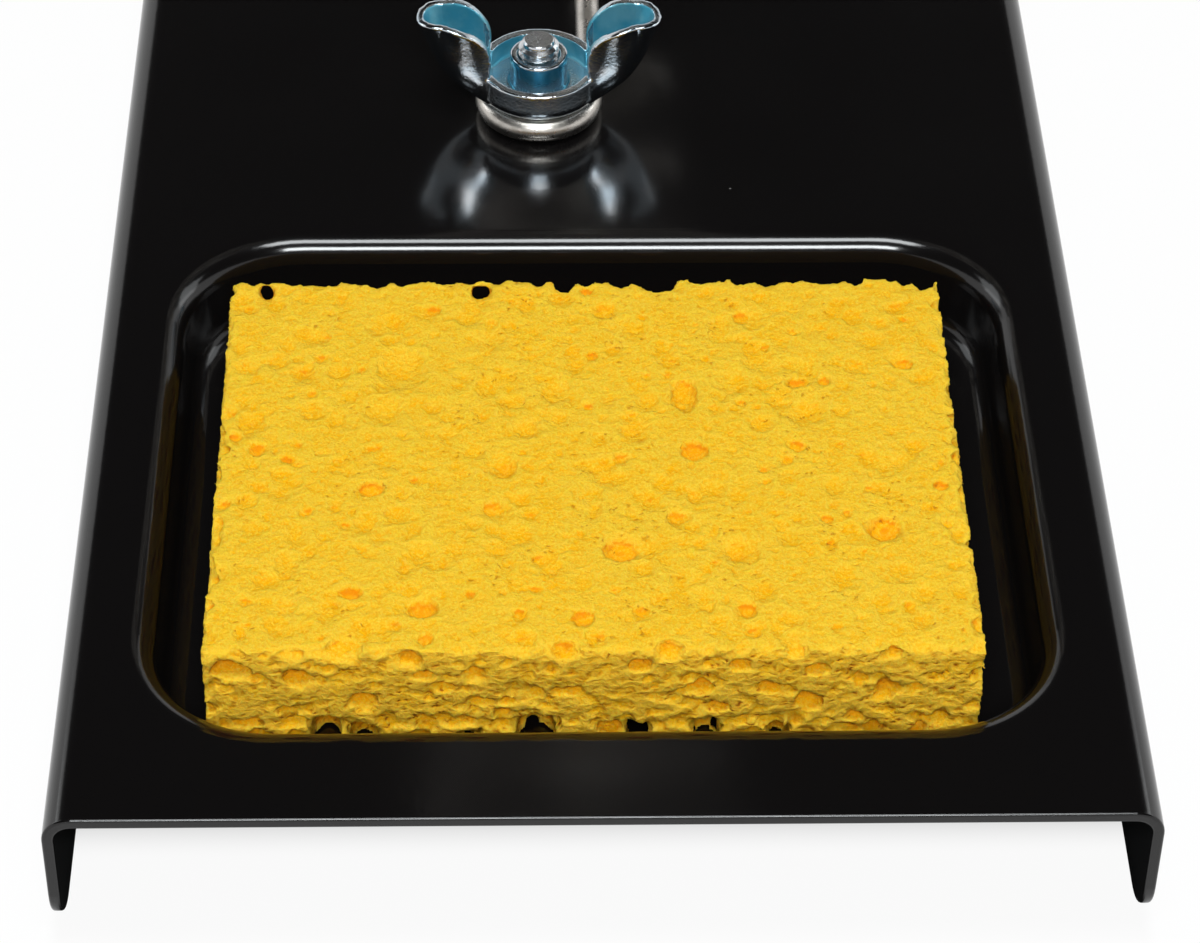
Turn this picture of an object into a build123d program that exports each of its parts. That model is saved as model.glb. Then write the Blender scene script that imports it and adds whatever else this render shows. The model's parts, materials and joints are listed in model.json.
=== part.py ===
"""Soldering iron stand: a pressed steel base with a sponge well, and a coiled wire holder."""

import math
import os

from build123d import *

os.makedirs("parts", exist_ok=True)

# Base, folded and drawn from one steel sheet
base_length = 160.0
base_width = 90.6
base_height = 13.5
sheet = 1.0
flange_bend = 2.5
flange_corner = 4.5
sheet_round = 0.25

# Sponge well, measured at the sharp line where its wall would meet the plate
well_side = 7.55
well_length = 63.0
well_depth = 8.0
well_corner = 10.75
well_draft = 6.0
rim_bend = 2.5
floor_bend = 2.0
well_front = 10.75

# Sponge
sponge_side_gap = 5.25
sponge_length = 48.7
sponge_thickness = 12.5
sponge_corner = 2.5
sponge_edge = 0.8
sponge_front_gap = 3.6
sponge_offset = -0.6

# Holder wire: eye, straight run, riser and coil
wire = 2.5
eye_radius = 5.0
run_length = 24.0
run_offset = 0.4
riser_bend = 8.0
riser_reach = 8.0
riser_rise = 17.0
coil_turns = 9
coil_pitch = 9.5
coil_tail_radius = 9.5
coil_mouth_radius = 17.0
coil_slope = 55.0

# Clamp screw and its lock washer
screw_diameter = 4.0
screw_setback = 94.9
screw_reach = 8.5
screw_chamfer = 0.6
head_diameter = 8.0
head_height = 2.6
head_round = 1.2
recess_width = 1.1
recess_span = 4.4
recess_depth = 1.5
washer_diameter = 8.4
washer_thickness = 0.5
washer_teeth = 10
tooth_gap = 0.9
tooth_depth = 1.0

# Wing nut, stamped and folded from thinner sheet
nut_sheet = 0.9
collar_wall = 0.75
cup_bend = 1.0
cup_height = 3.0
cup_draft = 0.2
collar_height = 4.2
wing_span = 23.9
wing_height = 8.8
wing_tip_height = 8.1
wing_shoulder_height = 7.5
wing_bulb = 2.6
wing_foot = 0.2
wing_levels = (0.0, 0.2, 0.5, 1.0)
neck_low = 3.3
neck_high = 2.0
neck_lean = 1.25

# Clearances
seat_gap = 0.1
screw_hole_gap = 0.2
thread_gap = 0.06
washer_gap = 0.15
sponge_gap = 0.1
wire_gap = 0.5

# Places that follow from the sizes above
front = -base_length / 2
plate_under = base_height - sheet
well_floor = base_height - well_depth
well_width = base_width - 2 * well_side
sponge_width = well_width - 2 * sponge_side_gap
well_y = front + well_front + well_length / 2
screw_x = run_offset - eye_radius
screw_y = front + screw_setback
screw_radius = screw_diameter / 2
wire_z = base_height + seat_gap + wire / 2
nut_seat = wire_z + wire / 2 + seat_gap
screw_axis = Axis((screw_x, screw_y, 0), (0, 0, 1))


def upright_plane(height):
    """The plane through the screw's axis, X to the right and Z up, its origin at the given height."""
    return Plane(origin=(screw_x, screw_y, height), x_dir=(1, 0, 0), z_dir=(0, -1, 0))


# Base plate
with BuildPart() as base_plate:
    with BuildSketch():
        Rectangle(base_width, base_length)
    extrude(amount=base_height)
    fillet(base_plate.edges().filter_by(Axis.Y).group_by(Axis.Z)[-1], flange_bend)
    open_faces = base_plate.faces().filter_by(Axis.Y) + base_plate.faces().sort_by(Axis.Z)[:1]
    offset(amount=-sheet, openings=open_faces)
    fillet(base_plate.edges().filter_by(Axis.X).group_by(Axis.Z)[0], flange_corner)
    # The sheet's cut edge runs down each end and along the flanges, and both its corners are rounded
    across_sheet = base_plate.edges().filter_by(Axis.X).filter_by(lambda edge: edge.length < 2 * sheet)
    cut_faces = [face for face in base_plate.faces() if any(edge in across_sheet for edge in face.edges())]
    cut_edges = [edge for face in cut_faces for edge in face.edges() if edge not in across_sheet]
    fillet(cut_edges, sheet_round)
    # The pan's outside, then the punch that hollows it, then the bends of the drawn sheet
    wall_step = sheet / math.cos(math.radians(well_draft))
    with BuildSketch(Plane.XY.offset(base_height)):
        with Locations((0, well_y)):
            RectangleRounded(
                well_width + 2 * wall_step, well_length + 2 * wall_step, well_corner + wall_step
            )
    extrude(amount=-(well_depth + sheet), taper=well_draft)
    with BuildSketch(Plane.XY.offset(base_height)):
        with Locations((0, well_y)):
            RectangleRounded(well_width, well_length, well_corner)
    extrude(amount=-well_depth, taper=well_draft, mode=Mode.SUBTRACT)

    def flat_face(height, rank):
        """The level face at a height: rank 0 is the smallest there, -1 the largest."""
        level = base_plate.faces().filter_by(Axis.Z)
        level = level.filter_by(lambda face: abs(face.center().Z - height) < sheet / 10)
        return level.sort_by(SortBy.AREA)[rank]

    fillet(flat_face(well_floor - sheet, -1).edges(), floor_bend + sheet)
    fillet(flat_face(well_floor, -1).edges(), floor_bend)
    fillet(flat_face(plate_under, -1).inner_wires().edges(), rim_bend - sheet)
    fillet(flat_face(base_height, -1).inner_wires().edges(), rim_bend)
    with Locations((screw_x, screw_y, base_height)):
        Hole(screw_radius + screw_hole_gap)

# Sponge
with BuildPart() as sponge:
    sponge_y = front + well_front + sponge_front_gap + sponge_length / 2
    with BuildSketch(Plane.XY.offset(well_floor + sponge_gap)):
        with Locations((sponge_offset, sponge_y)):
            RectangleRounded(sponge_width, sponge_length, sponge_corner)
    extrude(amount=sponge_thickness)
    fillet(sponge.faces().sort_by(Axis.Z)[-1].edges(), sponge_edge)

# Clamp screw, pan headed, with a cross recess under the plate
head_seat = plate_under - washer_thickness
with BuildPart() as clamp_screw:
    screw_end = base_height + screw_reach - head_seat
    with BuildSketch(upright_plane(head_seat)):
        with BuildLine():
            Polyline(
                (0, -head_height),
                (0, screw_end),
                (screw_radius - screw_chamfer, screw_end),
                (screw_radius, screw_end - screw_chamfer),
                (screw_radius, 0),
                (head_diameter / 2, 0),
                (head_diameter / 2, head_round - head_height),
            )
            RadiusArc(
                (head_diameter / 2, head_round - head_height),
                (head_diameter / 2 - head_round, -head_height),
                head_round,
            )
            Line((head_diameter / 2 - head_round, -head_height), (0, -head_height))
        make_face()
    revolve(axis=screw_axis)
    with BuildSketch(Plane.XY.offset(head_seat - head_height)):
        with Locations((screw_x, screw_y)):
            Rectangle(recess_span, recess_width)
            Rectangle(recess_width, recess_span)
    extrude(amount=recess_depth, mode=Mode.SUBTRACT)

# Toothed lock washer
with BuildPart() as lock_washer:
    with BuildSketch(Plane.XY.offset(head_seat)):
        with Locations((screw_x, screw_y)):
            Circle(washer_diameter / 2)
            Circle(screw_radius + washer_gap, mode=Mode.SUBTRACT)
            with PolarLocations(washer_diameter / 2 - tooth_depth / 2, washer_teeth):
                Rectangle(tooth_depth, tooth_gap, mode=Mode.SUBTRACT)
    extrude(amount=washer_thickness)

# Wing nut
cup_radius = eye_radius + cup_bend
rim_radius = cup_radius - cup_draft
bore_radius = screw_radius + thread_gap
collar_radius = bore_radius + collar_wall
neck_base = rim_radius - nut_sheet
wing_top = wing_height + nut_sheet


def wing_section(side, height, inset):
    """One wing cut level above the nut's seat: a round bulb that narrows to a neck at the cup."""
    share = height / wing_height
    reach = cup_radius + (wing_span / 2 - cup_radius) * math.sqrt(height / wing_tip_height) - inset
    bulb = wing_bulb - inset
    centre = reach - bulb
    neck_x = neck_base + neck_lean * share
    neck_y = neck_low + (neck_high - neck_low) * share - inset
    towards_neck = math.atan2(neck_y, neck_x - centre)
    turn = towards_neck - math.acos(bulb / math.hypot(neck_x - centre, neck_y))
    touch_x = centre + bulb * math.cos(turn)
    touch_y = bulb * math.sin(turn)
    inner_x = collar_radius + nut_sheet / 2
    with BuildSketch(Plane(origin=(screw_x, screw_y, nut_seat + height))) as section:
        with BuildLine():
            Polyline(
                (side * touch_x, touch_y),
                (side * neck_x, neck_y),
                (side * inner_x, neck_y),
                (side * inner_x, -neck_y),
                (side * neck_x, -neck_y),
                (side * touch_x, -touch_y),
            )
            ThreePointArc((side * touch_x, -touch_y), (side * reach, 0), (side * touch_x, touch_y))
        make_face()
    return section.sketch


def wing_stack(side, lowest, inset):
    """The level sections that one wing, or the hollow in it, is lofted through."""
    steps = [lowest + (wing_top - lowest) * share for share in wing_levels]
    return [wing_section(side, height, inset) for height in steps]


with BuildPart() as wing_nut:
    for side in (1, -1):
        loft(wing_stack(side, wing_foot, 0))
    # The wings' outline, seen from the front
    with BuildSketch(upright_plane(nut_seat)):
        for side in (1, -1):
            shoulder_x = neck_base + neck_lean * wing_shoulder_height / wing_height
            edge_x = wing_span / 2 + nut_sheet
            with BuildLine():
                Polyline(
                    (side * edge_x, wing_tip_height),
                    (side * edge_x, 0),
                    (side * collar_radius, 0),
                    (side * collar_radius, cup_height),
                    (side * neck_base, cup_height),
                )
                Spline(
                    (side * neck_base, cup_height),
                    (side * shoulder_x, wing_shoulder_height),
                    (side * (shoulder_x + edge_x) / 2, wing_height),
                    (side * edge_x, wing_tip_height),
                )
            make_face()
    extrude(amount=cup_radius, both=True, mode=Mode.INTERSECT)
    # The cup and its threaded collar
    with BuildSketch(upright_plane(nut_seat)):
        with BuildLine():
            Polyline(
                (0, nut_sheet),
                (cup_radius - nut_sheet, nut_sheet),
                (neck_base, cup_height),
                (0, cup_height),
                close=True,
            )
        make_face()
    revolve(axis=screw_axis, mode=Mode.SUBTRACT)
    with BuildSketch(upright_plane(nut_seat)):
        with BuildLine():
            flat = cup_radius - cup_bend
            Line((bore_radius, 0), (flat, 0))
            RadiusArc((flat, 0), (cup_radius, cup_bend), -cup_bend)
            Polyline(
                (cup_radius, cup_bend),
                (rim_radius, cup_height),
                (neck_base, cup_height),
                (cup_radius - nut_sheet, nut_sheet),
                (collar_radius, nut_sheet),
                (collar_radius, collar_height),
                (bore_radius, collar_height),
                (bore_radius, 0),
            )
        make_face()
    revolve(axis=screw_axis)
    for side in (1, -1):
        loft(wing_stack(side, nut_sheet, nut_sheet), mode=Mode.SUBTRACT)

# Holder: one wire, with straight runs and arcs that meet without a kink
slope = math.radians(coil_slope)
along_coil = Vector(0, -math.cos(slope), math.sin(slope))
across_coil = Vector(0, math.sin(slope), math.cos(slope))
rightward = Vector(1, 0, 0)
upward = Vector(0, 0, 1)
riser_foot = Vector(run_offset, screw_y + run_length + riser_bend, wire_z + riser_bend)
coil_tail = Vector(0, riser_foot.Y + riser_reach, riser_foot.Z + riser_rise)


def coil_knot(turn):
    """Where the coil is after so many turns, and which way the wire runs there."""
    angle = 2 * math.pi * turn
    widening = (coil_mouth_radius - coil_tail_radius) / coil_turns
    radius = coil_tail_radius + widening * turn
    outward = across_coil * math.sin(angle) + rightward * math.cos(angle)
    onward = across_coil * math.cos(angle) - rightward * math.sin(angle)
    place = coil_tail + along_coil * (coil_pitch * turn) + outward * radius
    heading = along_coil * coil_pitch + outward * widening + onward * (2 * math.pi * radius)
    return place, heading.normalized()


def biarc(start, start_heading, end, end_heading):
    """Two arcs that leave one point and reach another in the given headings, smooth where they meet."""
    gap = end - start
    both = start_heading + end_heading
    spread = 2 * (1 - start_heading.dot(end_heading))
    along = gap.dot(both)
    reach = (math.sqrt(along**2 + spread * gap.dot(gap)) - along) / spread
    first = start + start_heading * reach
    last = end - end_heading * reach
    middle = (first + last) / 2
    TangentArc(start, middle, tangent=start_heading)
    TangentArc(middle, end, tangent=(last - first).normalized())


with BuildPart() as holder:
    eye_start = math.degrees(math.acos(1 - (wire + wire_gap) / eye_radius))
    eye_centre = (screw_x, screw_y, wire_z)
    half_eye = (360 - eye_start) / 2
    with BuildLine() as route:
        CenterArc(eye_centre, eye_radius, eye_start, half_eye)
        CenterArc(eye_centre, eye_radius, eye_start + half_eye, half_eye)
        run_end = Vector(run_offset, screw_y + run_length, wire_z)
        Line((run_offset, screw_y, wire_z), run_end)
        TangentArc(run_end, riser_foot, tangent=(0, 1, 0))
        biarc(riser_foot, upward, *coil_knot(0))
        for half_turn in range(2 * coil_turns):
            biarc(*coil_knot(half_turn / 2), *coil_knot((half_turn + 1) / 2))
        mouth, mouth_heading = coil_knot(coil_turns)
        Line(mouth, mouth + mouth_heading * wire)
    end_x = screw_x + eye_radius * math.cos(math.radians(eye_start))
    end_y = screw_y + eye_radius * math.sin(math.radians(eye_start))
    end_heading = (-math.sin(math.radians(eye_start)), math.cos(math.radians(eye_start)), 0)
    with BuildSketch(Plane(origin=(end_x, end_y, wire_z), z_dir=end_heading)):
        Circle(wire / 2)
    sweep()

# The wire's least gap to itself, between points on its route that aren't next to each other
next_along = 4 * wire
walked = 0.0
beads = []
for edge in route.edges():
    count = max(2, round(edge.length))
    beads += [(walked + edge.length * i / count, edge.position_at(i / count)) for i in range(count)]
    walked += edge.length
gaps = [
    (spot - other).length - wire
    for i, (at, spot) in enumerate(beads)
    for later, other in beads[i + 1 :]
    if later - at > next_along
]
tightest = min(edge.radius for edge in route.edges() if edge.geom_type == GeomType.CIRCLE)
section = math.pi * wire**2 / 4
print(f"holder wire: {walked:.0f} mm long, tightest radius {tightest:.2f} mm")
print(f"least gap of the wire to itself: {min(gaps):.2f} mm")
print(f"volume {holder.part.volume:.0f} mm3, section times length {section * walked:.0f} mm3")

for solid, name in (
    (base_plate, "base_plate"),
    (sponge, "sponge"),
    (holder, "holder"),
    (wing_nut, "wing_nut"),
    (clamp_screw, "clamp_screw"),
    (lock_washer, "lock_washer"),
):
    solid.part.label = name
    export_step(solid.part, f"parts/{name}.step")
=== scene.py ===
"""Looks for the soldering iron stand: paint, foam, plated metal, floor, light and camera."""

import json
import math

import bpy
import numpy as np
from mathutils import Matrix, Vector

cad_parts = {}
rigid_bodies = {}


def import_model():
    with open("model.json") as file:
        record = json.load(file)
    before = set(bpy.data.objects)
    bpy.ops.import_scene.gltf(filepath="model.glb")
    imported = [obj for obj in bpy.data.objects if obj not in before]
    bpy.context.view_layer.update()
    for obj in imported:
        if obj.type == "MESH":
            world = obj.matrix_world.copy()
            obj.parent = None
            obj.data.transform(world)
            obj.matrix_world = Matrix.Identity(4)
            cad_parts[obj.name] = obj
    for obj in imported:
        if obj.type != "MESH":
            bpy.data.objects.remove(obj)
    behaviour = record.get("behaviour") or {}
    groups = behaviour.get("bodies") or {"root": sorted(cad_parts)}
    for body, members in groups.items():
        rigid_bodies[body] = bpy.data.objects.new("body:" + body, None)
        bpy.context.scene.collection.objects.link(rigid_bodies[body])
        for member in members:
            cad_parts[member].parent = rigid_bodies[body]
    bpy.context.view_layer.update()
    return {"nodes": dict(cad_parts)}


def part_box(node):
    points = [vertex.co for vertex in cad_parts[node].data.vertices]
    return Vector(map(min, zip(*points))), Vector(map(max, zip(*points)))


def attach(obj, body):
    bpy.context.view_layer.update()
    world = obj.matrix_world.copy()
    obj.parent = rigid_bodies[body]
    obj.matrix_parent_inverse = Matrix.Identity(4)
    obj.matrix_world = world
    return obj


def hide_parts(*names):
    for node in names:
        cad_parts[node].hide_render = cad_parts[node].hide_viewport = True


for leftover in list(bpy.data.objects):
    bpy.data.objects.remove(leftover)
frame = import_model()
scene = bpy.context.scene
MM = 0.001


# Shader writing


class Wire:
    """A socket that can be written in sums: each operator adds a Math node."""

    def __init__(self, shader, socket):
        self.shader, self.socket = shader, socket

    def math(self, operation, *others):
        sockets = dict(enumerate((self, *others)))
        return self.shader.node("ShaderNodeMath", {"operation": operation}, sockets)

    def __add__(self, other):
        return self.math("ADD", other)

    def __sub__(self, other):
        return self.math("SUBTRACT", other)

    def __mul__(self, other):
        return self.math("MULTIPLY", other)

    def __rsub__(self, other):
        return self.shader.node("ShaderNodeMath", {"operation": "SUBTRACT"}, {0: other, 1: self})

    __radd__ = __add__

    def step(self, low, high):
        """0 below low and 1 above high, with a smooth ramp between."""
        settings = {"interpolation_type": "SMOOTHSTEP"}
        ends = {"Value": self, "From Min": low, "From Max": high}
        return self.shader.node("ShaderNodeMapRange", settings, ends)


class Shader:
    """One material's node tree, with a method that adds any node."""

    def __init__(self, name):
        self.material = bpy.data.materials.new(name)
        self.material.use_nodes = True
        self.tree = self.material.node_tree
        self.tree.nodes.clear()
        self.out = self.tree.nodes.new("ShaderNodeOutputMaterial")

    def node(self, kind, settings=None, sockets=None, output=0):
        made = self.tree.nodes.new(kind)
        for name, value in (settings or {}).items():
            setattr(made, name, value)
        for key, value in (sockets or {}).items():
            self.feed(made.inputs[key], value)
        return Wire(self, made.outputs[output])

    def feed(self, socket, value):
        if isinstance(value, Wire):
            self.tree.links.new(value.socket, socket)
        else:
            socket.default_value = value

    def place(self):
        return self.node("ShaderNodeTexCoord", output="Object")

    def noise(self, scale, detail, roughness=0.5):
        sockets = {"Vector": self.place(), "Scale": scale, "Detail": detail, "Roughness": roughness}
        return self.node("ShaderNodeTexNoise", None, sockets)

    def attribute(self, name):
        """A number that was noted on the piece's vertices."""
        return self.node("ShaderNodeAttribute", {"attribute_name": name}, output="Fac")

    def bump(self, height, strength, depth):
        """A normal for fine relief; depth is in metres."""
        sockets = {"Strength": strength, "Distance": depth, "Height": height}
        return self.node("ShaderNodeBump", None, sockets)

    def mix(self, factor, low, high):
        sockets = {"Factor": factor, 6: low, 7: high}
        return self.node("ShaderNodeMix", {"data_type": "RGBA"}, sockets, output=2)

    def surface(self, **sockets):
        """The principled surface that ends the tree; an underscore in a name stands for a space."""
        named = {name.replace("_", " "): value for name, value in sockets.items()}
        done = self.node("ShaderNodeBsdfPrincipled", None, named)
        self.tree.links.new(done.socket, self.out.inputs["Surface"])
        return self.material


def colour(red, green, blue):
    return (red, green, blue, 1.0)


def only(piece):
    """Makes a piece the one that is selected and active."""
    bpy.ops.object.select_all(action="DESELECT")
    piece.select_set(True)
    bpy.context.view_layer.objects.active = piece


def settled(piece, kind, **settings):
    """Adds a modifier to a piece and applies it."""
    added = piece.modifiers.new(kind.lower(), kind)
    for name, value in settings.items():
        setattr(added, name, value)
    bpy.context.view_layer.objects.active = piece
    bpy.ops.object.modifier_apply(modifier=added.name)


def points(piece):
    """A piece's vertices as rows of x, y and z."""
    rows = np.empty(3 * len(piece.data.vertices))
    piece.data.vertices.foreach_get("co", rows)
    return rows.reshape(-1, 3)


def move(piece, rows):
    piece.data.vertices.foreach_set("co", rows.ravel())
    piece.data.update()


def note(piece, name, values):
    """Keeps one number per vertex, for the piece's material to read."""
    kept = piece.data.attributes.new(name, "FLOAT", "POINT")
    kept.data.foreach_set("value", values.astype(np.float32))


def rounded(piece, degrees):
    """Smooth shading, with a sharp line where faces meet at more than the angle."""
    only(piece)
    bpy.ops.object.shade_smooth_by_angle(angle=math.radians(degrees))


def to_metres(piece):
    """Shrinks a piece that was modelled in millimetres."""
    only(piece)
    piece.scale = (MM, MM, MM)
    bpy.ops.object.transform_apply(location=True, rotation=True, scale=True)


def coat(piece, material):
    """Gives a piece one material and no other."""
    piece.data.materials.clear()
    piece.data.materials.append(material)


def stand_in(piece, node, body):
    """Puts a finished piece in the place of a CAD node."""
    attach(piece, body)
    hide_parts(node)


# Sponge, modelled in millimetres: a block cut by pores. A pore is x, y, z and three half sizes.
# The bowls, pits, pores and holes listed here lie where the photograph shows them
sponge_low, sponge_high = (np.array(corner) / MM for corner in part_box("sponge"))
sponge_size = sponge_high - sponge_low
LEFT, FRONT, FLOOR = sponge_low
RIGHT, BACK, TOP = sponge_high
chance = np.random.default_rng(11)

# Wide shallow bowls on top: x, y, half width, half length
BOWLS = (
    (-26.5, -44.3, 1.3, 1.9), (-17.1, -29.6, 2.7, 3.4), (-19.3, -23.7, 1.4, 1.6), (-30.1, -30.9, 0.9, 1.0),
    (-26.0, -30.2, 1.2, 1.5), (-22.4, -42.5, 1.0, 1.5), (-18.5, -41.9, 1.2, 1.6), (-11.7, -30.7, 1.1, 1.3),
    (-7.9, -30.8, 1.4, 1.5), (-3.5, -32.6, 1.8, 2.1), (-9.2, -25.5, 1.6, 1.8), (6.8, -57.8, 1.3, 3.6),
    (25.7, -56.3, 1.3, 1.5), (20.6, -56.9, 1.3, 1.7), (15.6, -29.5, 1.3, 1.8), (14.3, -27.2, 1.3, 1.4),
    (25.1, -42.8, 1.2, 1.8), (18.6, -35.7, 2.1, 2.0), (9.9, -45.7, 1.5, 1.7), (20.5, -45.5, 1.2, 1.5),
    (12.3, -31.6, 1.8, 2.1), (-19.8, -50.0, 1.3, 1.6), (-26.7, -62.4, 1.4, 1.9), (-29.5, -50.6, 1.2, 1.4),
    (-22.7, -60.3, 1.3, 1.7), (-8.3, -42.5, 1.6, 1.9), (-8.7, -48.4, 1.5, 1.6), (12.1, -53.6, 1.9, 2.1),
    (6.9, -49.6, 1.2, 1.2), (24.5, -50.9, 1.9, 1.7), (2.0, -53.3, 1.9, 1.8),
)
# Deeper pits on top: x, y, half width, half length
PITS = (
    (-29.5, -40.3, 0.8, 0.9), (-22.4, -47.8, 0.6, 0.7), (-19.5, -45.4, 1.2, 0.9), (-8.0, -42.9, 1.0, 1.3),
    (-9.0, -48.0, 1.0, 1.0), (1.9, -53.1, 1.7, 1.3), (11.7, -53.4, 1.2, 1.2), (24.3, -50.7, 1.5, 1.4),
    (6.7, -49.2, 0.9, 1.0), (12.2, -60.6, 0.9, 1.0), (12.6, -63.3, 0.7, 0.8), (3.4, -60.9, 0.7, 0.8),
    (17.9, -53.9, 0.4, 0.5), (25.8, -60.4, 0.6, 0.8), (19.4, -62.8, 0.5, 0.5), (7.9, -33.3, 1.2, 2.3),
    (8.5, -40.7, 1.3, 1.3), (17.6, -40.1, 0.8, 0.8), (8.3, -46.7, 0.7, 1.0), (13.4, -22.5, 0.8, 0.9),
    (27.6, -29.0, 1.0, 0.9), (18.1, -31.6, 1.1, 0.6), (-20.9, -58.3, 1.1, 0.7), (-14.9, -60.2, 1.4, 1.2),
    (-16.5, -55.4, 0.6, 1.0), (-13.1, -55.1, 0.5, 0.6), (-29.8, -63.3, 0.5, 1.0), (-1.5, -61.5, 1.0, 1.0),
    (-6.8, -61.0, 0.7, 0.8), (-5.1, -54.4, 0.7, 0.7), (-14.5, -21.4, 0.8, 0.7),
)
# Flat pores in the front face: x, z, half width, half height
FLAT = (
    (5.6, 17.8, 1.2, 1.1), (11.4, 16.1, 0.9, 0.6), (17.8, 15.5, 1.1, 0.6), (23.8, 13.2, 1.0, 0.9),
    (-3.1, 17.9, 1.2, 1.1), (-25.2, 14.8, 1.2, 0.9), (-30.6, 15.7, 1.8, 0.8), (-21.3, 17.7, 1.6, 0.6),
    (-15.9, 16.8, 1.0, 0.7), (-19.8, 12.1, 1.2, 0.7), (-10.6, 15.3, 1.0, 0.6), (-5.4, 12.9, 0.7, 0.6),
    (17.3, 11.7, 1.2, 1.0), (24.1, 17.4, 0.7, 0.6), (3.1, 16.1, 1.0, 0.7), (8.2, 13.5, 1.2, 0.6),
    (14.0, 13.4, 1.0, 0.6), (21.4, 14.5, 0.7, 0.6),
)
# Holes through the worn lower front edge: x, z, half width, half height
HOLES = (
    (0.7, 9.1, 0.8, 0.7), (3.1, 9.1, 0.9, 0.7), (8.9, 9.1, 1.1, 0.6), (14.9, 8.9, 0.9, 0.5),
    (22.9, 9.0, 0.7, 0.6), (26.6, 8.8, 0.6, 0.4), (-23.0, 9.9, 1.2, 1.1), (-19.9, 8.9, 1.1, 0.7),
    (-5.4, 9.6, 1.7, 1.1), (-11.1, 8.8, 1.0, 0.4), (-28.8, 8.8, 0.8, 0.4), (-25.2, 8.8, 0.8, 0.4),
)
# Height of the worn lower front edge
LIP = 9.5
# Holes beside the top back edge that open through the back: x, y, half width, half length
EYES = (
    (-29.8, -18.9, 0.5, 0.8), (-29.5, -19.3, 0.4, 0.7), (-10.5, -19.1, 0.5, 0.8), (-9.8, -19.0, 0.5, 0.7),
)
# Bites out of the top back edge: x, half width, depth
BITES = (
    (6.1, 1.6, 1.3), (2.6, 1.1, 0.8), (-19.5, 1.1, 0.8), (-2.5, 1.0, 1.1), (-17.4, 0.6, 0.7),
    (9.9, 1.1, 0.5), (15.9, 1.5, 0.5), (21.8, 1.3, 0.5), (30.5, 0.9, 1.1), (-13.9, 0.7, 0.4),
    (-0.4, 0.5, 0.7), (-27.2, 1.0, 0.5),
)


def pore_list():
    """The listed pores, each as its middle and its three half sizes."""
    pores = []
    # Bowls have their middles above the top, so that a shallow dish is cut
    for x, y, wide, long in BOWLS:
        pores.append((x, y, TOP + 0.5 * wide, 1.25 * wide, 1.25 * long, 0.85 * wide))
    for x, y, wide, long in PITS:
        pores.append((x, y, TOP, wide, long, 0.9 * wide))
    for x, z, wide, high in FLAT:
        pores.append((x, FRONT + 0.2 * wide, z, wide, 1.1 * wide, high))
    # Holes reach back into the block, and the wide ones also open down to its floor
    for x, z, wide, high in HOLES:
        pores.append((x, FRONT + 0.6, z - 0.6, 1.3 * wide, 2.4, 0.9 * high))
        if wide > 0.8:
            pores.append((x, FRONT + 1.0, FLOOR + 1.2, 1.1 * wide, 3.2, z - FLOOR - 1.7))
    # Bites cut deep, so that the dark well shows through them
    for x, wide, deep in BITES:
        pores.append((x, BACK, TOP, wide, 1.5 * deep, 4.0))
    # Eyes slope down and back in steps, as steep as the photograph looks down
    for x, y, wide, long in EYES:
        for inward in (0.0, 0.7, 1.4, 2.1):
            pores.append((x, y + inward, TOP - 0.9 * inward, wide, 0.8 * long, 0.7))
    return pores


def loose_pores(count, small, large, sides, sink):
    """Pores of chance size and place that cut the named faces; a larger sink lets them go deeper."""
    pores = []
    for _ in range(count):
        radius = chance.uniform(small, large)
        axis, face, inward = sides[chance.integers(len(sides))]
        middle = chance.uniform(sponge_low, sponge_high)
        middle[axis] = face + inward * radius * chance.uniform(sink - 0.95, sink)
        half = radius * chance.uniform(0.8, 1.25, 3)
        if axis < 2:
            half *= FLATTEN
        pores.append((*middle, *half))
    return pores


def loose_bowls(count, small, large):
    """Shallow bowls anywhere on the top face."""
    across = chance.uniform(small, large, count)
    x = chance.uniform(LEFT, RIGHT, count)
    y = chance.uniform(FRONT, BACK, count)
    lift = across * chance.uniform(0.7, 0.93, count)
    long = across * chance.uniform(0.8, 1.4, count)
    return list(zip(x, y, TOP + lift, across, long, across))


def edge_pores(count, small, large):
    """Pores along the four upper edges and the lower front edge, which leave them ragged."""
    pores = []
    for _ in range(count):
        radius = chance.uniform(small, large)
        x, y, _ = chance.uniform(sponge_low, sponge_high)
        edge = chance.integers(5)
        z = TOP if edge < 4 else LIP
        place = np.array(((x, FRONT, z), (x, BACK, z), (LEFT, y, z), (RIGHT, y, z), (x, FRONT, z))[edge])
        place += radius * chance.uniform(-0.7, 0.7, 3)
        pores.append((*place, *(radius * chance.uniform(0.7, 1.3, 3))))
    return pores


def facing(piece):
    """A piece's vertex normals as rows of x, y and z."""
    rows = np.empty(3 * len(piece.data.vertices))
    piece.data.vertices.foreach_get("normal", rows)
    return rows.reshape(-1, 3)


def read_pores(piece, passes):
    """Notes each vertex's depth under the smoothed surface, its tilt to the front or down, and its face."""
    soft = piece.copy()
    soft.data = piece.data.copy()
    scene.collection.objects.link(soft)
    settled(soft, "SMOOTH", factor=0.5, iterations=passes)
    plain, own = facing(soft), facing(piece)
    tilt = own - plain * (own * plain).sum(axis=1)[:, None]
    note(piece, "dip", ((points(soft) - points(piece)) * plain).sum(axis=1))
    note(piece, "tilt", -tilt[:, 1] - tilt[:, 2])
    note(piece, "side", 1 - np.clip(plain[:, 2], 0, 1))
    bpy.data.objects.remove(soft)


# A face is an axis, its place on that axis and the way in
TOP_FACE = ((2, TOP, -1),)
END_FACES = ((1, FRONT, 1), (1, BACK, -1))
SIDE_FACES = ((0, LEFT, 1), (0, RIGHT, -1))
UNDER_FACE = ((2, FLOOR, 1),)
# Pores in upright faces are pressed flat
FLATTEN = (1.35, 1.35, 0.5)
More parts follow.
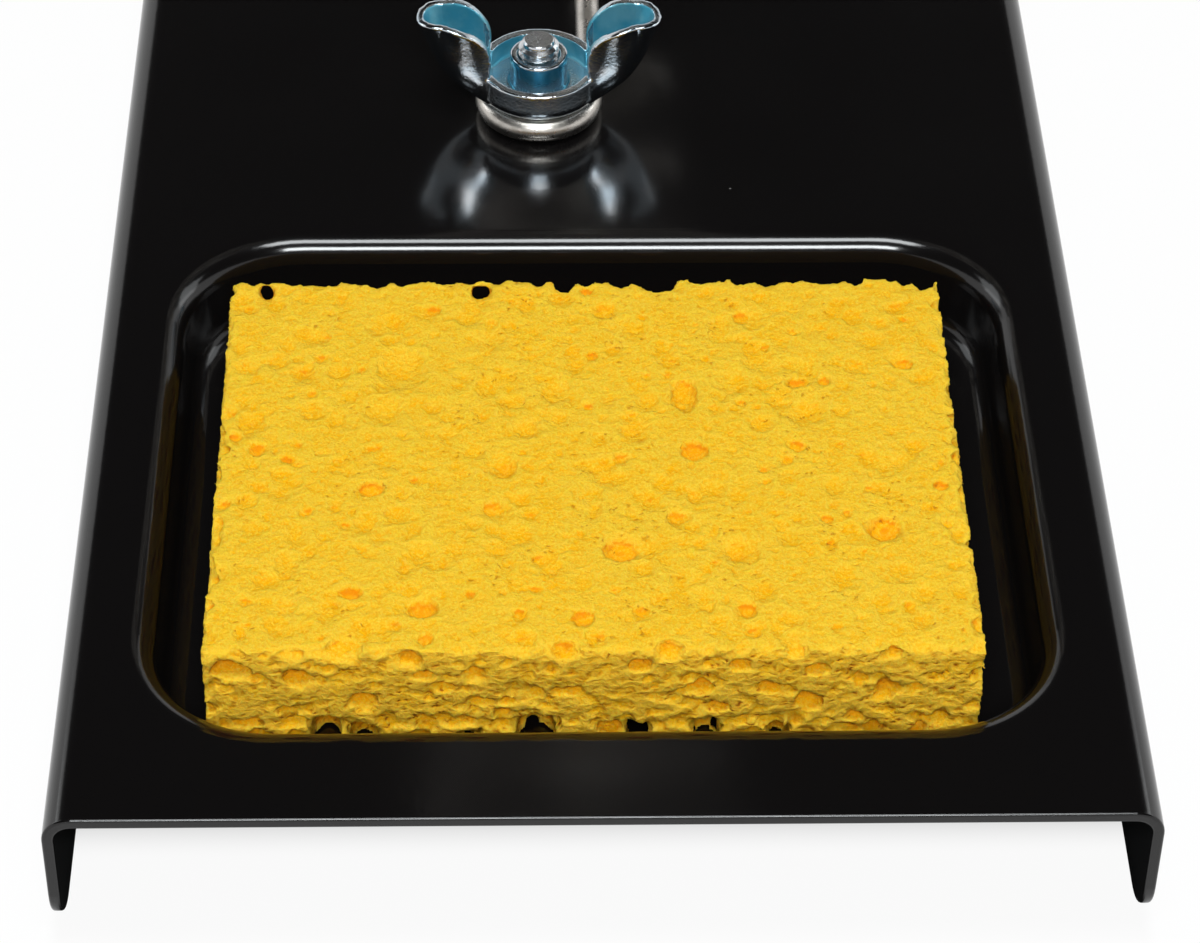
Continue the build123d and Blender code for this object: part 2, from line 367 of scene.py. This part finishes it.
# Loose pores: number, smallest and largest half size, faces and sink
LOOSE = (
    (60, 0.3, 0.6, TOP_FACE, 0.5),
    (1200, 0.25, 0.5, TOP_FACE, 0.1),
    (170, 0.4, 0.8, END_FACES, 0.5),
    (3000, 0.18, 0.4, END_FACES, 0.5),
    (200, 0.5, 1.0, SIDE_FACES, 0.5),
    (700, 0.22, 0.45, SIDE_FACES, 0.5),
    (160, 0.6, 1.2, UNDER_FACE, 0.5),
)
pores = pore_list() + loose_bowls(520, 1.0, 2.4)
for kind in LOOSE:
    pores += loose_pores(*kind)
pores = np.array(pores + edge_pores(700, 0.2, 0.7))

# The block: how much smaller it starts, its rounded lower edges, and the fineness of its meshes
ROOM = 0.1
WORN = 2.2
PORE_VOXEL = 0.2
FOAM_VOXEL = 0.26
# Relief all over: name, size of its lumps and height
RELIEF = (("lumps", 1.2, 0.12), ("fuzz", 0.3, 0.3))
# Smoothing passes that wipe out the pores, to tell how deep they are
WIPE = 60

bpy.ops.object.select_all(action="DESELECT")
bpy.ops.mesh.primitive_ico_sphere_add(subdivisions=2, radius=1.0)
ball = bpy.context.object
ball_points = points(ball)
ball_faces = np.array([face.vertices for face in ball.data.polygons])
bpy.data.objects.remove(ball)
cut_points = pores[:, None, :3] + ball_points * pores[:, None, 3:]
cut_faces = ball_faces + len(ball_points) * np.arange(len(pores))[:, None, None]
cut_mesh = bpy.data.meshes.new("pores")
cut_mesh.from_pydata(cut_points.reshape(-1, 3).tolist(), [], cut_faces.reshape(-1, 3).tolist())
cutter = bpy.data.objects.new("pores", cut_mesh)
scene.collection.objects.link(cutter)
settled(cutter, "REMESH", mode="VOXEL", voxel_size=PORE_VOXEL)

middle = (sponge_low + sponge_high) / 2
bpy.ops.mesh.primitive_cube_add(size=1.0, location=middle, scale=sponge_size - ROOM)
sponge = bpy.context.object
sponge.name = "sponge_foam"
bpy.ops.object.transform_apply(location=True, rotation=True, scale=True)
bpy.ops.object.mode_set(mode="EDIT")
bpy.ops.mesh.select_all(action="DESELECT")
bpy.ops.object.mode_set(mode="OBJECT")
for edge in sponge.data.edges:
    ends = [sponge.data.vertices[index].co for index in edge.vertices]
    edge.select = all(end.z < middle[2] for end in ends)
bpy.ops.object.mode_set(mode="EDIT")
bpy.ops.mesh.bevel(offset=WORN, segments=6, profile=0.5)
bpy.ops.object.mode_set(mode="OBJECT")
settled(sponge, "BOOLEAN", operation="DIFFERENCE", object=cutter, solver="MANIFOLD")
bpy.data.objects.remove(cutter)
settled(sponge, "REMESH", mode="VOXEL", voxel_size=FOAM_VOXEL)
settled(sponge, "SMOOTH", factor=0.5, iterations=1)
for name, size, strength in RELIEF:
    grain = bpy.data.textures.new(name, "CLOUDS")
    grain.noise_scale = size
    grain.noise_depth = 2
    settled(sponge, "DISPLACE", texture=grain, strength=strength, mid_level=0.8, texture_coords="LOCAL")
rows = np.clip(points(sponge), sponge_low, sponge_high)
move(sponge, rows)
# How far in from the nearest face, the underside left out
below = np.minimum(rows - sponge_low, sponge_high - rows)
below[:, 2] = TOP - rows[:, 2]
note(sponge, "hollow", below.min(axis=1))
read_pores(sponge, WIPE)
to_metres(sponge)
rounded(sponge, 180)


# Points nearer than this are one point, in millimetres
JOIN = 0.002


def cad_copy(node, name):
    """A CAD node's mesh as a new piece in millimetres, with its loose faces joined up."""
    piece = frame["nodes"][node].copy()
    piece.data = piece.data.copy()
    piece.name = name
    piece.parent = None
    piece.matrix_world = Matrix.Identity(4)
    scene.collection.objects.link(piece)
    move(piece, points(piece) / MM)
    piece.data.materials.clear()
    only(piece)
    bpy.ops.mesh.customdata_custom_splitnormals_clear()
    bpy.ops.object.mode_set(mode="EDIT")
    bpy.ops.mesh.select_all(action="SELECT")
    bpy.ops.mesh.remove_doubles(threshold=JOIN)
    bpy.ops.object.mode_set(mode="OBJECT")
    return piece


def cut_off(piece, height, above):
    """Cuts a piece level at a height and closes the cut."""
    only(piece)
    bpy.ops.object.mode_set(mode="EDIT")
    bpy.ops.mesh.select_all(action="SELECT")
    bpy.ops.mesh.remove_doubles(threshold=JOIN)
    bpy.ops.mesh.bisect(
        plane_co=(0, 0, height), plane_no=(0, 0, 1), use_fill=True, clear_outer=above, clear_inner=not above
    )
    bpy.ops.mesh.select_all(action="SELECT")
    bpy.ops.mesh.normals_make_consistent(inside=False)
    bpy.ops.object.mode_set(mode="OBJECT")


# Clamp screw, in millimetres: a rolled thread on the pressed head
screw_low, screw_high = (np.array(corner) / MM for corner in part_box("clamp_screw"))
screw_x, screw_y = (screw_low[:2] + screw_high[:2]) / 2
PITCH = 0.7
ROOT = 1.55
CREST = 1.98
CHAMFER = 0.6
# One turn's outline from the root up, as steps out and up
FLANK = ((0, 0.1), (0.48, 0.22), (0, 0.06), (-0.48, 0.22), (0, 0.1))
HEAD_HEIGHT = 2.6
HEAD_TOP = screw_low[2] + HEAD_HEIGHT
TURN_STEPS = 64
# Turns that are made at each end and cut off again
SPARE = 2
# The thread starts this far inside the head, and the head's stub ends this far inside the thread
THREAD_START, STUB = 0.4, 0.15
bpy.ops.object.select_all(action="DESELECT")
bpy.ops.mesh.primitive_plane_add(size=1.0)
screw = bpy.context.object
screw.name = "screw_steel"
bpy.ops.object.mode_set(mode="EDIT")
bpy.ops.mesh.select_all(action="SELECT")
bpy.ops.mesh.merge(type="CENTER")
bpy.ops.transform.translate(value=(ROOT, 0, HEAD_TOP - SPARE * PITCH))
for out, rise in FLANK:
    bpy.ops.mesh.extrude_vertices_move(TRANSFORM_OT_translate={"value": (out, 0, rise)})
bpy.ops.object.mode_set(mode="OBJECT")
turns = math.ceil((screw_high[2] - HEAD_TOP) / PITCH) + 2 * SPARE
settled(
    screw, "SCREW", axis="Z", angle=2 * math.pi, screw_offset=PITCH, iterations=turns,
    steps=TURN_STEPS, render_steps=TURN_STEPS,
)
cut_off(screw, HEAD_TOP - THREAD_START, above=False)
cut_off(screw, screw_high[2], above=True)
rows = points(screw)
rows[:, 2] = np.minimum(rows[:, 2], screw_high[2])
reach = np.hypot(rows[:, 0], rows[:, 1])
limit = np.minimum(CREST, CREST - CHAMFER + screw_high[2] - rows[:, 2])
rows[:, :2] *= np.minimum(1.0, limit / np.maximum(reach, 0.01))[:, None]
move(screw, rows)
move(screw, points(screw) + (screw_x, screw_y, 0))
head = cad_copy("clamp_screw", "head")
cut_off(head, HEAD_TOP + STUB, above=True)
settled(screw, "BOOLEAN", operation="UNION", object=head, solver="MANIFOLD")
bpy.data.objects.remove(head)
to_metres(screw)
rounded(screw, 35)

# Wing nut, in millimetres from the middle of its seat: the folded sheet with its edges rounded
SHEET_VOXEL = 0.14
ROUNDING = 5
CUP_REACH = 5.6
RIM_FROM = 2.6
WING_START, WING_LENGTH = 4.4, 5.0
WING_FOOT, WING_HEIGHT = 1.2, 8.0
# Share of the height above the foot by which a wall stands out
BELLY = 0.12
# Distance from the middle line at which a wall takes the whole belly
WALL_OFFSET = 1.2
# The line down a wing's middle, nearest and farthest
HOLLOW_START, HOLLOW_END = 5.0, 8.8
nut = cad_copy("wing_nut", "nut_sheet")
settled(nut, "REMESH", mode="VOXEL", voxel_size=SHEET_VOXEL)
settled(nut, "SMOOTH", factor=0.5, iterations=ROUNDING)
seat = np.array((screw_x, screw_y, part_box("wing_nut")[0][2] / MM))
rows = points(nut) - seat
side = np.sign(rows[:, 0])
far = np.abs(rows[:, 0])
# The folded walls belly out between the cup and the round outer fold
along = np.sin(np.pi * np.clip((far - WING_START) / WING_LENGTH, 0, 1))
belly = along * np.clip(rows[:, 2] - WING_FOOT, 0, WING_HEIGHT)
rows[:, 1] += BELLY * belly * np.clip(rows[:, 1] / WALL_OFFSET, -1, 1)
move(nut, rows + seat)
outward = facing(nut)
# A wing's hollow turns towards the line down its middle; the cup's turns towards the screw
wing_middle = np.stack((side * np.clip(far, HOLLOW_START, HOLLOW_END), 0 * far, rows[:, 2] + 2.0), axis=1)
cup_middle = np.stack((0 * far, 0 * far, rows[:, 2] + 1.0), axis=1)
in_cup = np.hypot(rows[:, 0], rows[:, 1]) < CUP_REACH
towards = np.where(in_cup[:, None], cup_middle, wing_middle) - rows
towards /= np.linalg.norm(towards, axis=1)[:, None]
# 1 inside and 0 outside, with a soft change between
inside = np.clip(2.2 * (outward * towards).sum(axis=1) - 0.1, 0, 1)
# Rims that face up and lie above the cup's floor lose the inside colour
upward_rim = np.clip(4 * outward[:, 2] - 2.4, 0, 1) * (rows[:, 2] > RIM_FROM)
note(nut, "inside", inside * (1 - upward_rim))
to_metres(nut)
rounded(nut, 180)


def black_paint():
    """Black stoving paint: gloss with a slight orange peel, and a few specks of dust."""
    paint = Shader("black_paint")
    peel = paint.noise(700.0, detail=2.0)
    smear = paint.noise(60.0, detail=4.0)
    cell = {"Vector": paint.place(), "Scale": 130.0}
    near = paint.node("ShaderNodeTexVoronoi", None, cell)
    lot = paint.node("ShaderNodeTexVoronoi", None, cell, output="Color")
    pick = paint.node("ShaderNodeSeparateColor", None, {0: lot})
    speck = (1.0 - near.step(0.008, 0.016)) * pick.step(0.6, 0.7)
    tint = paint.mix(speck * 0.5, colour(0.004, 0.0035, 0.0035), colour(0.30, 0.29, 0.28))
    return paint.surface(
        Base_Color=tint, Roughness=smear * 0.06 + 0.11 + speck * 0.5, Specular_IOR_Level=0.45,
        Normal=paint.bump(peel, 0.03, 0.0002),
    )


def plated(name, bright, dull, roughness):
    """Plated steel: dull patches on a bright skin, with a fine grain."""
    metal = Shader(name)
    worn = metal.noise(330.0, detail=5.0, roughness=0.65).step(0.42, 0.68)
    grain = metal.noise(2600.0, detail=3.0)
    return metal.surface(
        Base_Color=metal.mix(worn, bright, dull), Metallic=1.0,
        Roughness=grain * 0.08 + worn * 0.10 + (roughness - 0.04), Normal=metal.bump(grain, 0.12, 0.0001),
    )


def blue_zinc():
    """Zinc that is bluer and duller on the faces that turn inwards, into the cup and the wings' folds."""
    zinc = Shader("blue_zinc")
    inside = zinc.attribute("inside")
    cloud = zinc.noise(450.0, detail=3.0)
    grain = zinc.noise(4000.0, detail=2.0)
    outer = zinc.mix(cloud.step(0.4, 0.7), colour(0.50, 0.58, 0.64), colour(0.62, 0.63, 0.64))
    inner = zinc.mix(cloud.step(0.35, 0.75), colour(0.06, 0.36, 0.50), colour(0.17, 0.47, 0.57))
    tint = zinc.mix(inside, outer, inner)
    return zinc.surface(
        Base_Color=tint, Metallic=1.0 - inside * 0.4, Roughness=0.12 + inside * 0.24 + grain * 0.06,
        Normal=zinc.bump(grain, 0.15, 0.0001),
    )


def yellow_foam():
    """Cellulose sponge: pale ridges and a fine fuzz, with painted shade that turns hollows golden, pore
    walls and pits orange, and pores and pinholes dark.
    """
    foam = Shader("yellow_foam")
    dip, tilt, side, hollow = (foam.attribute(name) for name in ("dip", "tilt", "side", "hollow"))
    cloud = foam.noise(420.0, detail=4.0, roughness=0.6)
    fuzz = foam.noise(4200.0, detail=3.0, roughness=0.7)
    # Pores of chance outline: cells in a space that is bent by noise and pressed flat
    waves = {"Vector": foam.place(), "Scale": 800.0, "Detail": 4.0}
    swirl = foam.node("ShaderNodeTexNoise", None, waves, output="Color")
    bend = {0: swirl, 1: (0.0016, 0.0016, 0.0016), 2: foam.place()}
    bent = foam.node("ShaderNodeVectorMath", {"operation": "MULTIPLY_ADD"}, bend)
    flat = foam.node("ShaderNodeVectorMath", {"operation": "MULTIPLY"}, {0: bent, 1: (0.75, 0.9, 1.5)})
    cell = foam.node("ShaderNodeTexVoronoi", None, {"Vector": flat, "Scale": 1300.0})
    pore = 1.0 - cell.step(0.10, 0.50)
    # Depth below the smoothed surface, for painted shade that turns hollows from pale to golden
    shade_depth = dip + (cloud - 0.5) * 0.5 + pore * 0.08
    # Upright faces get brighter copies of the colours: painted light that makes up for the dimmer light
    # they get
    pale = foam.mix(side, colour(0.80, 0.50, 0.028), colour(0.92, 0.53, 0.036))
    gold_shade = foam.mix(side, colour(0.86, 0.42, 0.001), colour(0.92, 0.46, 0.004))
    # From the surface down: ridges and hollows, fibres, pore walls, deep pits, small pores and pinholes;
    # all but the fibres are painted shade
    tint = foam.mix(shade_depth.step(-0.10, 0.18), pale, gold_shade)
    tint = foam.mix(fuzz.step(0.45, 0.66) * 0.75, tint, colour(0.85, 0.58, 0.052))
    tint = foam.mix((1.0 - fuzz.step(0.34, 0.48)) * 0.5, tint, colour(0.84, 0.38, 0.002))
    # Painted shade: walls of pores that face the front or down turn orange
    wall_shade = (tilt + (cloud - 0.5) * 0.8).step(0.10, 0.55) * dip.step(0.02, 0.16)
    tint = foam.mix(wall_shade * 0.8, tint, colour(0.78, 0.25, 0.003))
    # Painted shade: the deepest parts of pits and hollows turn dark orange
    deep = dip + hollow * 0.10 + (cloud - 0.5) * 0.45
    tint = foam.mix(deep.step(0.18, 0.60) * 0.65, tint, colour(0.79, 0.29, 0.003))
    # Painted shade: small pores darker, more so on upright faces
    tint = foam.mix(pore * (0.10 + side * 0.65), tint, colour(0.62, 0.24, 0.004))
    # Painted shade: pinholes darkened to brown, more so on upright faces
    pin = (1.0 - cell.step(0.08, 0.24)) * (foam.noise(190.0, detail=2.0) + side * 0.06).step(0.53, 0.64)
    tint = foam.mix(pin * (0.45 + side * 0.4), tint, colour(0.36, 0.10, 0.005))
    relief = foam.bump(fuzz * 0.7 + cell - pin * 0.6, 0.6, 0.0003)
    return foam.surface(
        Base_Color=tint, Roughness=0.95, Specular_IOR_Level=0.1, Normal=relief,
        Subsurface_Weight=0.3, Subsurface_Radius=(1.0, 0.5, 0.1), Subsurface_Scale=0.001,
    )


# Where the floor's white fades into a painted shadow under the plate, in metres: the start and end of each
# fade
PLATE_SIDE = (0.0445, 0.0460)
PLATE_BACK = (0.076, 0.082)
PLATE_FRONT = (-0.084, -0.079)
SHADE_FRONT = (-0.072, -0.060)


def white_floor():
    """A pale floor that camera and mirrors see as white, apart from a shadow of the object that is painted
    under the plate.
    """
    ground = Shader("white_floor")
    # Painted shadow: the floor under the plate is dark, all of it in mirrors, and behind its front edge to
    # the camera
    across = ground.node("ShaderNodeSeparateXYZ", None, {0: ground.place()}).math("ABSOLUTE")
    along = ground.node("ShaderNodeSeparateXYZ", None, {0: ground.place()}, output=1)
    within = (1.0 - across.step(*PLATE_SIDE)) * (1.0 - along.step(*PLATE_BACK))
    painted_shadow_mirrored = within * along.step(*PLATE_FRONT)
    painted_shadow_direct = within * along.step(*SHADE_FRONT)
    direct = ground.node("ShaderNodeLightPath", output="Is Camera Ray")
    mirrored = ground.node("ShaderNodeLightPath", output="Is Glossy Ray")
    mirrored = mirrored + ground.node("ShaderNodeLightPath", output="Is Transmission Ray")
    seen = direct * (1.0 - painted_shadow_direct) + mirrored * (1.0 - painted_shadow_mirrored)
    # The floor's own colour is darkened under the plate too, as painted shadow
    shade = ground.mix(painted_shadow_mirrored, colour(0.8, 0.8, 0.8), colour(0.02, 0.02, 0.02))
    white = ground.node("ShaderNodeEmission", None, {"Color": colour(1, 1, 1), "Strength": 1.0})
    pale = ground.node("ShaderNodeBsdfDiffuse", None, {"Color": shade})
    both = ground.node("ShaderNodeMixShader", None, {0: seen * 0.95, 1: pale, 2: white})
    ground.tree.links.new(both.socket, ground.out.inputs["Surface"])
    return ground.material


def dress(node, material):
    """Gives a CAD node that is kept its material."""
    frame["nodes"][node].material_slots[0].material = material


coat(sponge, yellow_foam())
stand_in(sponge, "sponge", "sponge")
dress("base_plate", black_paint())
dress("holder", plated("wire", colour(0.56, 0.53, 0.49), colour(0.40, 0.38, 0.34), 0.27))
coat(nut, blue_zinc())
stand_in(nut, "wing_nut", "nut")
zinc = plated("zinc", colour(0.68, 0.70, 0.72), colour(0.50, 0.52, 0.54), 0.20)
coat(screw, zinc)
stand_in(screw, "clamp_screw", "screw")
dress("lock_washer", zinc)

# Floor that bends up into a low wall all round: distance out and height of each ring
WALL = ((0.0, 0.0), (2.2, 0.0), (2.6, 0.1), (2.9, 0.4), (3.0, 0.9), (3.0, 1.5))
bpy.ops.object.select_all(action="DESELECT")
bpy.ops.mesh.primitive_circle_add(vertices=96, radius=WALL[1][0], fill_type="NGON")
floor = bpy.context.object
floor.name = "floor"
bpy.ops.object.mode_set(mode="EDIT")
bpy.ops.mesh.select_all(action="SELECT")
for (inner, low), (outer, high) in zip(WALL[1:], WALL[2:]):
    bpy.ops.mesh.extrude_region_move(TRANSFORM_OT_translate={"value": (0, 0, high - low)})
    grow = outer / inner
    bpy.ops.transform.resize(value=(grow, grow, 1), center_override=(0, 0, 0))
bpy.ops.mesh.delete(type="ONLY_FACE")
bpy.ops.object.mode_set(mode="OBJECT")
coat(floor, white_floor())

# World
world = bpy.data.worlds.new("studio")
world.use_nodes = True
world.node_tree.nodes["Background"].inputs["Color"].default_value = colour(0.012, 0.012, 0.012)
scene.world = world

# Camera at the photograph's place: in millimetres, and its degrees down, to the right and rolled
CAMERA_PLACE = Vector((-6.99, -286.42, 236.8))
CAMERA_TURNS = (42.0, 1.707, 0.873)
LENS, SENSOR = 113.4, 36.0
pitch, yaw, roll = (math.radians(angle) for angle in CAMERA_TURNS)
ahead = Vector((math.sin(yaw) * math.cos(pitch), math.cos(yaw) * math.cos(pitch), -math.sin(pitch)))
level = Vector((math.cos(yaw), -math.sin(yaw), 0))
above = level.cross(ahead)
right = level * math.cos(roll) + above * math.sin(roll)
up = above * math.cos(roll) - level * math.sin(roll)
lens = bpy.data.cameras.new("camera")
lens.lens = LENS
lens.sensor_width = SENSOR
lens.sensor_fit = "HORIZONTAL"
lens.clip_start = 0.01
camera = bpy.data.objects.new("camera", lens)
scene.collection.objects.link(camera)
turn = Matrix((right, up, -ahead)).transposed().to_4x4()
camera.matrix_world = Matrix.Translation(CAMERA_PLACE * MM) @ turn
scene.camera = camera

# Softboxes that face the object: name, place, size and power
COOL = (0.95, 0.985, 1.0)
SOFTBOXES = (
    ("top", (0, -0.25, 1.0), (0.5, 0.24), 6.0),
    ("front", (0, -0.72, 0.70), (0.34, 0.2), 6.6),
    ("rear_left", (-0.9, 0.5, 0.6), (0.5, 0.5), 1.6),
    ("rear_right", (0.9, 0.5, 0.6), (0.5, 0.5), 1.6),
)
for name, place, size, power in SOFTBOXES:
    lamp = bpy.data.lights.new(name, "AREA")
    lamp.shape = "RECTANGLE"
    lamp.size, lamp.size_y = size
    lamp.energy = power
    lamp.color = COOL
    made = bpy.data.objects.new(name, lamp)
    made.location = place
    made.rotation_euler = (-Vector(place)).to_track_quat("-Z", "Y").to_euler()
    scene.collection.objects.link(made)

scene.view_settings.view_transform = "Standard"
